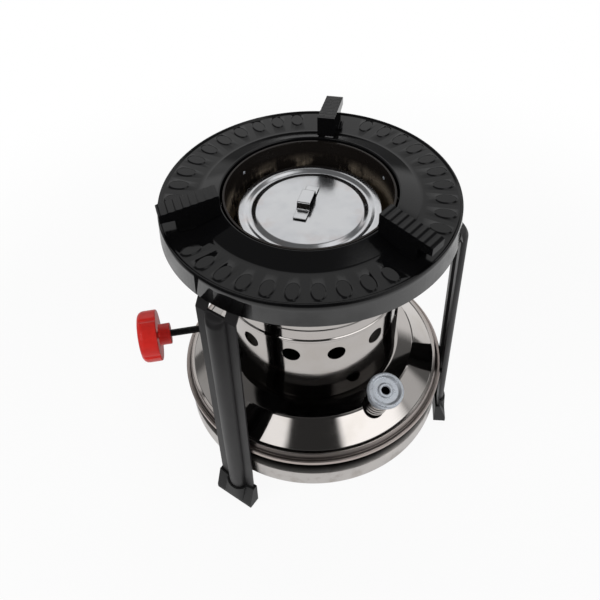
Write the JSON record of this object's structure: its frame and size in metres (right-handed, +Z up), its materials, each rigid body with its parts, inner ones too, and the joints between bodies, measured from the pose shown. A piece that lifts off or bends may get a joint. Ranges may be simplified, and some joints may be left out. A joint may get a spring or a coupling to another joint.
{
  "type": "kerosene stove",
  "caption": "Portable kerosene wick stove: round fuel tank, bright burner casing, black ribbed-rest top plate, pressed legs, red wick knob and screw filler cap.",
  "frame": {"origin": "centre of the fuel tank's flat underside, on the burner's axis; the surface that the feet stand on is 33 mm below it", "axes": "+Z up along the burner's axis, through the middle of the plate's hole; the control shaft runs out along -X to the knob; +Y is away from the filler"},
  "size_m": [0.2386, 0.2116, 0.2417],
  "materials": {
    "bright_steel": "bright plated sheet steel, nearly a mirror",
    "satin_steel": "satin plated sheet steel",
    "lid_steel": "satin galvanised sheet steel with heat smudges",
    "heated_steel": "bright sheet steel browned by heat",
    "black_enamel": "glossy black stove enamel",
    "leg_paint": "satin dark grey paint",
    "black_plastic": "matt black moulded plastic",
    "black_rod": "blackened steel, oiled",
    "red_plastic": "moulded red plastic, half gloss",
    "zinc": "bluish zinc plating",
    "inner_steel": "plain sheet steel, slightly oiled",
    "cotton": "plaited cotton",
    "rubber": "matt black fuel-proof rubber"
  },
  "bodies": {
    "stove": {"tank_pan": "satin_steel", "tank_top": "bright_steel", "filler_neck": "bright_steel", "burner_base": "inner_steel", "wick_gallery": "inner_steel", "wick_tube_1": "inner_steel", "wick_tube_2": "inner_steel", "wick_tube_3": "inner_steel", "wick_tube_4": "inner_steel", "wick_tube_5": "inner_steel", "wick_tube_6": "inner_steel", "wick_tube_7": "inner_steel", "wick_tube_8": "inner_steel", "shaft_bush": "black_rod", "shaft_bracket": "inner_steel", "outer_casing": "bright_steel", "air_baffle": "inner_steel", "wind_sleeve": "heated_steel", "top_plate": "black_enamel", "pot_rest_1": "black_enamel", "pot_rest_2": "black_enamel", "pot_rest_3": "black_enamel", "leg_1": "leg_paint", "leg_2": "leg_paint", "leg_3": "leg_paint", "foot_1": "black_plastic", "foot_2": "black_plastic", "foot_3": "black_plastic", "leg_screw_1": "zinc", "leg_screw_2": "zinc", "leg_screw_3": "zinc", "weld_nut_1": "inner_steel", "weld_nut_2": "inner_steel", "weld_nut_3": "inner_steel"},
    "control": {"control_shaft": "black_rod", "pinion": "inner_steel", "control_knob": "red_plastic", "knob_screw": "zinc"},
    "wick_lift": {"wick_carrier": "inner_steel", "lift_rack": "inner_steel", "wick_1": "cotton", "wick_2": "cotton", "wick_3": "cotton", "wick_4": "cotton", "wick_5": "cotton", "wick_6": "cotton", "wick_7": "cotton", "wick_8": "cotton"},
    "flame_sleeves": {"outer_flame_sleeve": "heated_steel", "inner_flame_sleeve": "heated_steel", "flame_sleeve_pin_1": "inner_steel", "flame_sleeve_pin_2": "inner_steel", "flame_sleeve_pin_3": "inner_steel"},
    "lid": {"burner_lid": "lid_steel", "lid_handle": "lid_steel"},
    "cap_seal": {"cap_gasket": "rubber"},
    "cap": {"filler_cap": "zinc"}
  },
  "joints": [
    {"name": "wick_raise", "type": "slide", "parent": "stove", "child": "wick_lift", "axis": [0, 0, 1], "range_m": [0, 0.012]},
    {"name": "control_turn", "type": "hinge", "parent": "stove", "child": "control", "pos_m": [0, 0, 0.08], "axis": [1, 0, 0], "range_deg": [0, 138]},
    {"name": "sleeves_lift", "type": "slide", "parent": "stove", "child": "flame_sleeves", "axis": [0, 0, 1], "range_m": [0, 0.08]},
    {"name": "lid_lift", "type": "slide", "parent": "flame_sleeves", "child": "lid", "axis": [0, 0, 1], "range_m": [0, 0.03]},
    {"name": "cap_rise", "type": "slide", "parent": "stove", "child": "cap_seal", "axis": [0.0889, -0.3183, 0.9438], "range_m": [0, 0.0075]},
    {"name": "cap_turn", "type": "hinge", "parent": "cap_seal", "child": "cap", "pos_m": [0.02991, -0.07258, 0.0533], "axis": [0.0889, -0.3183, 0.9438], "range_deg": [0, 900]}
  ],
  "couplings": [
    {"joint": "control_turn", "follows": "wick_raise", "rad_per_m": 200},
    {"joint": "cap_rise", "follows": "cap_turn", "m_per_rad": 0.00047746}
  ]
}
